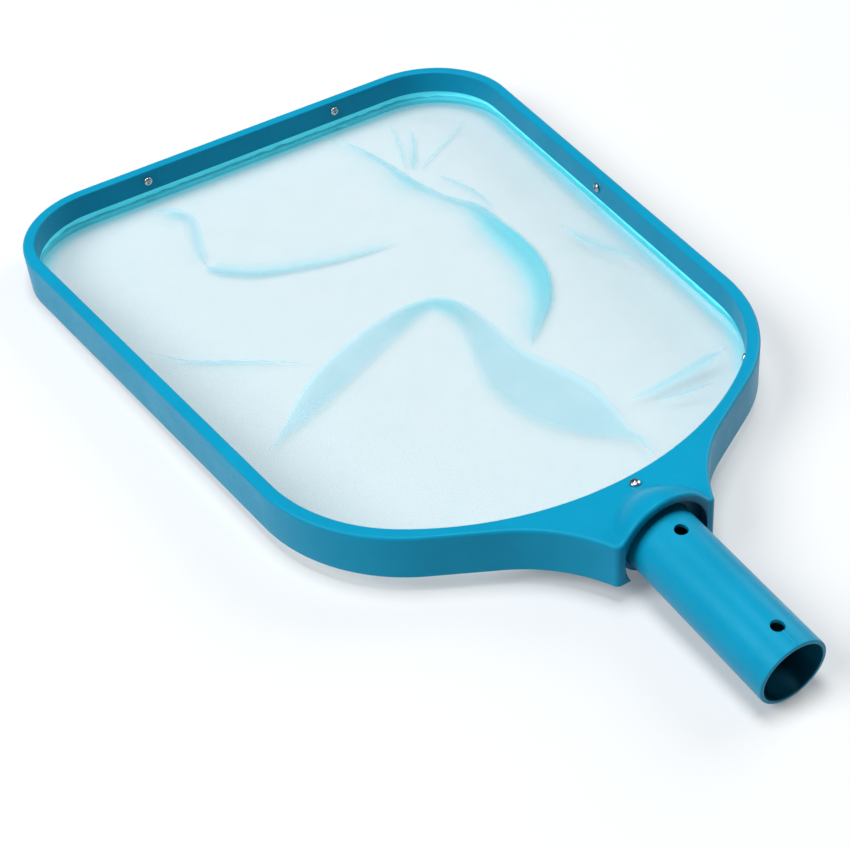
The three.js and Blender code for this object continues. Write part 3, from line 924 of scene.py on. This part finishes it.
def leaf_net():
    edge = opening_outline(0)
    border = opening_outline(NET_BORDER[0])
    holes = [fold.loop() for fold in FOLDS]
    flat, faces = triangulated([border, *holes], net_points(), holes)

    rise = np.zeros(len(flat))
    gather = np.ones(len(flat))
    for fold in FOLDS:
        up, bunched = fold.effect(flat)
        rise += up
        gather += bunched
    # the curves of each fold are exactly as high as the fold itself
    first = len(border)
    for fold in FOLDS:
        count = len(fold.line)
        others_high = sum(other.effect(fold.high)[0] for other in FOLDS if other is not fold)
        others_low = sum(other.effect(fold.low)[0] for other in FOLDS if other is not fold)
        rise[first : first + count] = fold.rise + others_high
        rise[first + count : first + 2 * count - 2] = others_low[-2:0:-1]
        first += len(fold.loop())
    depth = nearest(flat, edge, closed=True)[0]
    height = net_base(flat, depth) + rise
    gather += edge_gather(-depth)
    points = [(p.real, p.imag, z) for p, z in zip(flat, height)]
    layers = list(gather)

    first = len(border)
    for fold in FOLDS:
        add_fold(fold, first, points, layers, faces)
        first += len(fold.loop())
    add_border(points, layers, faces, len(border))
    return mark(make("leaf_net_sheet", points, faces), "bunching", layers)


def add_fold(fold, first, points, layers, faces):
    """The three layers of one fold, from its high curve to its low curve."""
    count = len(fold.line)
    high = [first + i for i in range(count)]
    low = [first + 2 * count - 2 - i for i in range(count - 1)]
    columns = []
    for i in range(1, count - 1):
        start, end = Vector(points[high[i]]), Vector(points[low[i]])
        start.z -= fold.rise[i]
        column = [high[i]]
        for along, height, layer in across(fold.width[i], fold.rise[i]):
            place = start.lerp(end, along / fold.width[i])
            column.append(len(points))
            points.append((place.x, place.y, place.z + height))
            layers.append(fold.density(i, along, layer))
        columns.append([*column, low[i]])
    for a, b in zip(columns, columns[1:]):
        faces += [(a[k], a[k + 1], b[k + 1], b[k]) for k in range(len(a) - 1)]
    first_column, last_column = columns[0], columns[-1]
    faces += [(b, a, high[0]) for a, b in zip(first_column, first_column[1:])]
    faces += [(a, b, high[-1]) for a, b in zip(last_column, last_column[1:])]


def add_border(points, layers, faces, count):
    """Rows from the slack net out and up to the hem."""
    rows = [range(count)]
    for outset in NET_BORDER[1:]:
        ring = np.array(opening_outline(outset))
        depth = -outset if outset < 0 else 0
        height = net_base(ring, np.full(count, depth))
        pucker = np.array([wobble(p, 7, 8.8) for p in ring])
        height += edge_rise(outset) * (1 + NET_PUCKER * pucker)
        rows.append([len(points) + i for i in range(count)])
        points += [(p.real, p.imag, z) for p, z in zip(ring, height)]
        layers += [1 + edge_gather(outset)] * count
    for inner, outer in zip(rows, rows[1:]):
        faces += [(inner[i - 1], outer[i - 1], outer[i], inner[i]) for i in range(count)]


# ---------- screws ----------


def screw_mesh(length):
    """Pan head above the origin with a cross recess, shank down -Z."""
    dome = [
        (SCREW_HEAD_R * math.cos(a), SCREW_HEAD_H * (0.4 + 0.6 * math.sin(a)))
        for a in quarter(7)[:-1]
    ]
    profile = [
        (0, -length),
        (0.25, -length + 0.1),
        (SCREW_SHANK_R, SCREW_TIP - length),
        (SCREW_SHANK_R, SCREW_SEAT),
        (SCREW_HEAD_R - 0.15, SCREW_SEAT),
        (SCREW_HEAD_R, SCREW_SEAT + 0.15),
        *dome,
        (0, SCREW_HEAD_H),
    ]
    screw = lathe(profile, SCREW_SIDES, "screw")
    for x, y in ((1.45, 0.36), (0.36, 1.45)):
        taper = [
            [(-x * k, -y * k, z), (x * k, -y * k, z), (x * k, y * k, z), (-x * k, y * k, z)]
            for z, k in ((0.75, 0.62), (SCREW_HEAD_H + 0.4, 1.1))
        ]
        cut(screw, loft(taper))
    return smooth(screw, 35)


def place_screws():
    wall = screw_mesh(WALL_SCREW_LENGTH)
    neck = screw_mesh(NECK_SCREW_LENGTH)
    saddle = screw_mesh(SADDLE_SCREW_LENGTH)
    plan = [(wall, s, Matrix.Identity(4)) for s in wall_screws()]
    plan.append((neck, NECK_SCREW, Matrix.Identity(4)))
    plan += [(saddle, s, TUBE_IN_HEAD) for s in saddle_screws()]
    pieces = []
    for k, (pattern, (name, foot, way), axes) in enumerate(plan):
        screw = bpy.data.objects.new(name + "_fine", pattern.data.copy())
        bpy.context.scene.collection.objects.link(screw)
        turn = Matrix.Rotation(0.7 + 1.1 * k, 4, "Z")
        screw.data.transform(axes @ facing(foot, -Vector(way)) @ turn)
        pieces.append((screw, name))
    for pattern in (wall, neck, saddle):
        bpy.data.meshes.remove(pattern.data)
    return pieces


# ---------- materials ----------


class Surface:
    """A material whose nodes are added one by one."""

    def __init__(self, name, **uniform):
        self.material = bpy.data.materials.new(name)
        self.material.use_nodes = True
        self.tree = self.material.node_tree
        self.shader = self.tree.nodes["Principled BSDF"]
        for socket, value in uniform.items():
            self.shader.inputs[socket.replace("_", " ")].default_value = value

    def add(self, kind, inputs=(), **settings):
        node = self.tree.nodes.new("ShaderNode" + kind)
        for key, value in settings.items():
            setattr(node, key, value)
        for key, value in dict(inputs).items():
            if isinstance(value, bpy.types.NodeSocket):
                self.tree.links.new(value, node.inputs[key])
            else:
                node.inputs[key].default_value = value
        return node

    def place(self):
        return self.add("TexCoord").outputs["Object"]

    def noise(self, scale, detail=2.0, rough=0.5, vector=None):
        inputs = {"Scale": scale, "Detail": detail, "Roughness": rough, "Vector": vector or self.place()}
        return self.add("TexNoise", inputs).outputs["Fac"]

    def math(self, operation, a, b=0.0, clamp=False):
        return self.add("Math", {0: a, 1: b}, operation=operation, use_clamp=clamp).outputs[0]

    def between(self, value, low, high, to_low, to_high):
        inputs = {"Value": value, "From Min": low, "From Max": high, "To Min": to_low, "To Max": to_high}
        return self.add("MapRange", inputs).outputs["Result"]

    def mix(self, share, a, b):
        return self.add("Mix", {0: share, 6: a, 7: b}, data_type="RGBA").outputs[2]

    def bump(self, height, distance, normal=None):
        inputs = {"Height": height, "Distance": distance}
        if normal:
            inputs["Normal"] = normal
        return self.add("Bump", inputs).outputs["Normal"]

    def set(self, socket, value):
        self.tree.links.new(value, self.shader.inputs[socket])


def shade(colour, factor):
    return (*[c * factor for c in colour], 1)


def moulded(name, colour, roughness):
    """Satin polypropylene: mottled colour, faint scuffs and orange peel, softened edges, and painted shade
    that darkens the colour where the inner attribute is set.
    """
    spread = 0.07
    painted_shade_inside = 0.35
    s = Surface(name, Specular_IOR_Level=0.16, Specular_Tint=(0.3, 0.85, 1, 1))
    place = s.place()
    cloud = s.noise(22, 3, 0.55, place)
    speck = s.noise(420, 2, 0.6, place)
    tone = s.math("ADD", s.between(cloud, 0.3, 0.7, 0, 0.75), s.between(speck, 0.3, 0.7, 0, 0.25))
    mottled = s.mix(tone, shade(colour, 1 - spread), shade(colour, 1 + spread))
    # painted shade: where vertices are marked inner, the colour is darkened to stand for the shade inside the
    # socket, recess and bore
    inner = s.add("Attribute", attribute_name="inner").outputs["Fac"]
    s.set("Base Color", s.mix(inner, mottled, shade(colour, painted_shade_inside)))
    stretched = s.add("Mapping", {"Vector": place, "Scale": (1.0, 0.22, 1.0), "Rotation": (0, 0, 0.5)})
    scuff = s.between(s.noise(760, 4, 0.7, stretched.outputs["Vector"]), 0.56, 0.74, 0, 0.16)
    patches = s.between(s.noise(38, 3, 0.6, place), 0.3, 0.7, -0.05, 0.06)
    s.set("Roughness", s.math("ADD", s.math("ADD", patches, scuff), roughness))
    edge = s.add("Bevel", {"Radius": 0.0005}, samples=4).outputs["Normal"]
    waves = s.bump(s.noise(95, 2, 0.5, place), 0.00012, edge)
    s.set("Normal", s.bump(s.noise(1500, 2, 0.6, place), 0.000012, waves))
    return s.material


def net_material():
    """Fine knitted mesh: threads with open squares between them, denser where it is bunched or steep."""
    s = Surface("net_mesh", IOR=1.45)
    parts = s.add("SeparateXYZ", {0: s.place()})
    pitch = 0.0007
    threads = []
    for axis in ("X", "Y"):
        drift = s.math("MULTIPLY", s.noise(30, 2, 0.5), 2.2)
        turns = s.math("ADD", s.math("DIVIDE", parts.outputs[axis], pitch), drift)
        centre = s.math("ABSOLUTE", s.math("SUBTRACT", s.math("FRACT", turns), 0.5))
        threads.append(s.between(centre, 0.06, 0.2, 1, 0))
    weave = s.math("MAXIMUM", *threads)
    cloud = s.between(s.noise(45, 3, 0.6), 0.3, 0.7, 0.95, 1.06)
    open_share = s.math("SUBTRACT", 1.0, s.math("MULTIPLY", s.between(weave, 0, 1, 0.15, 0.33), cloud))
    normal = s.add("SeparateXYZ", {0: s.add("NewGeometry").outputs["Normal"]}).outputs["Z"]
    level = s.math("MAXIMUM", s.math("ABSOLUTE", normal), 0.2)
    bunching = s.add("Attribute", attribute_name="bunching").outputs["Fac"]
    layers = s.math("DIVIDE", bunching, level)
    covered = s.math("SUBTRACT", 1.0, s.math("POWER", open_share, layers), clamp=True)
    s.set("Alpha", covered)
    tone = s.between(s.noise(260, 2, 0.5), 0.3, 0.7, 0, 1)
    pale = s.mix(tone, (0.21, 0.49, 0.57, 1), (0.255, 0.545, 0.625, 1))
    folded = s.mix(s.between(bunching, 0.98, 0.7, 0, 1), pale, (0.15, 0.67, 0.83, 1))
    s.set("Base Color", s.mix(s.between(bunching, 1, 2.4, 0, 1), folded, (0.06, 0.59, 0.72, 1)))
    s.set("Roughness", s.between(weave, 0, 1, 0.8, 0.65))
    s.set("Normal", s.bump(weave, 0.00006))
    return s.material


def tape_material():
    """Woven tape, with a faint glow that is painted light: it stands in for light shining through the thin
    tape.
    """
    # painted light: the tape glows a little, though it is no lamp
    glow = {"Emission_Color": (0.08, 0.8, 0.94, 1), "Emission_Strength": 0.2}
    s = Surface("hem_tape", Sheen_Weight=0.25, **glow)
    place = s.place()
    parts = s.add("SeparateXYZ", {0: place})
    ribs = s.math("SINE", s.math("MULTIPLY", parts.outputs["Z"], 2 * math.pi / 0.0007))
    fibres = s.noise(1400, 2, 0.6, place)
    weave = s.math("ADD", s.math("MULTIPLY", ribs, 0.15), fibres)
    cloud = s.between(s.noise(60, 3, 0.6, place), 0.3, 0.7, 0, 1)
    s.set("Base Color", s.mix(cloud, (0.09, 0.76, 0.88, 1), (0.14, 0.84, 0.95, 1)))
    s.set("Roughness", s.between(fibres, 0.3, 0.7, 0.72, 0.88))
    s.set("Normal", s.bump(weave, 0.00005))
    return s.material


def steel_material():
    s = Surface("screw_steel", Metallic=1.0)
    place = s.place()
    turned = s.add("Mapping", {"Vector": place, "Scale": (1, 1, 6)}).outputs["Vector"]
    grain = s.noise(2600, 3, 0.7, turned)
    cloud = s.between(s.noise(900, 2, 0.5, place), 0.3, 0.7, 0, 1)
    s.set("Base Color", s.mix(cloud, (0.36, 0.38, 0.4, 1), (0.5, 0.52, 0.54, 1)))
    s.set("Roughness", s.between(grain, 0.3, 0.7, 0.2, 0.34))
    s.set("Normal", s.bump(grain, 0.000008))
    return s.material


# ---------- the pieces ----------


def dressed(obj, material, slot, *replaced):
    obj.data.transform(HEAD)
    obj.data.materials.clear()
    obj.data.materials.append(material)
    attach(obj, "root")
    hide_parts(*replaced)
    return obj


plastic = moulded("satin_blue_plastic", (0.002, 0.215, 0.362), 0.36)
clamp_plastic = moulded("matt_blue_plastic", (0.0016, 0.14, 0.285), 0.46)

shell = dressed(outer_frame(), plastic, "moulding", "outer_frame")
tube = dressed(handle_tube(), plastic, "moulding", "handle_tube")
saddle = dressed(socket_clamp(), clamp_plastic, "clamp", "socket_clamp")
ring = dressed(clamp_ring(), clamp_plastic, "clamp", "net_clamp_ring")
hem = dressed(smooth(net_hem(), 60), tape_material(), "hem", "net_hem")
net = dressed(smooth(leaf_net(), 179), net_material(), "net", "leaf_net")
steel = steel_material()
for screw, node in place_screws():
    dressed(screw, steel, "steel", node)

for obj, name in ((shell, "frame_shell"), (tube, "tube"), (saddle, "saddle"), (ring, "clamp_ring")):
    obj.name = name

# ---------- floor, light and camera ----------


def floor():
    half = 20.0
    corners = [(-half, -half, 0), (half, -half, 0), (half, half, 0), (-half, half, 0)]
    plane = make("floor", corners, [(0, 1, 2, 3)])
    glow = {"Emission_Color": (0.97, 0.99, 1, 1), "Emission_Strength": 0.17}
    s = Surface("floor_white", Roughness=0.9, Specular_IOR_Level=0.1, **glow)
    s.set("Base Color", s.mix(s.noise(3, 2), (0.49, 0.5, 0.51, 1), (0.51, 0.52, 0.53, 1)))
    plane.data.materials.append(s.material)


def area_light(name, place, size, power):
    light = bpy.data.lights.new(name, "AREA")
    light.shape = "DISK"
    light.size = size
    light.energy = power
    obj = bpy.data.objects.new(name, light)
    bpy.context.scene.collection.objects.link(obj)
    obj.location = place
    obj.rotation_euler = (-Vector(place)).to_track_quat("-Z", "Y").to_euler()


def studio():
    floor()
    area_light("left", (-2.6, 0.4, 2.4), 2.2, 120)
    area_light("right", (3.0, 0.4, 1.9), 2.2, 58)
    area_light("top", (0.0, 0.2, 3.2), 1.4, 82)
    world = bpy.data.worlds.new("studio")
    bpy.context.scene.world = world
    world.use_nodes = True
    background = world.node_tree.nodes["Background"]
    background.inputs["Color"].default_value = (0.8, 0.92, 1.0, 1)
    background.inputs["Strength"].default_value = 0.12
    bpy.context.scene.view_settings.view_transform = "Standard"


def camera():
    azimuth, elevation, roll = (math.radians(a) for a in (-28.51, 41.71, -4.88))
    aim, distance = Vector((-0.03284, -0.01409, 0)), 0.8508
    back = Vector((
        math.sin(azimuth) * math.cos(elevation),
        -math.cos(azimuth) * math.cos(elevation),
        math.sin(elevation),
    ))
    level = Vector((0, 0, 1)).cross(back).normalized()
    upright = back.cross(level)
    right = level * math.cos(roll) + upright * math.sin(roll)
    up = upright * math.cos(roll) - level * math.sin(roll)
    data = bpy.data.cameras.new("camera")
    data.lens = 74.085
    data.sensor_width = 36
    data.clip_end = 50
    obj = bpy.data.objects.new("camera", data)
    bpy.context.scene.collection.objects.link(obj)
    matrix = Matrix((right, up, back)).transposed().to_4x4()
    matrix.translation = aim + back * distance
    obj.matrix_world = matrix
    bpy.context.scene.camera = obj


studio()
camera()
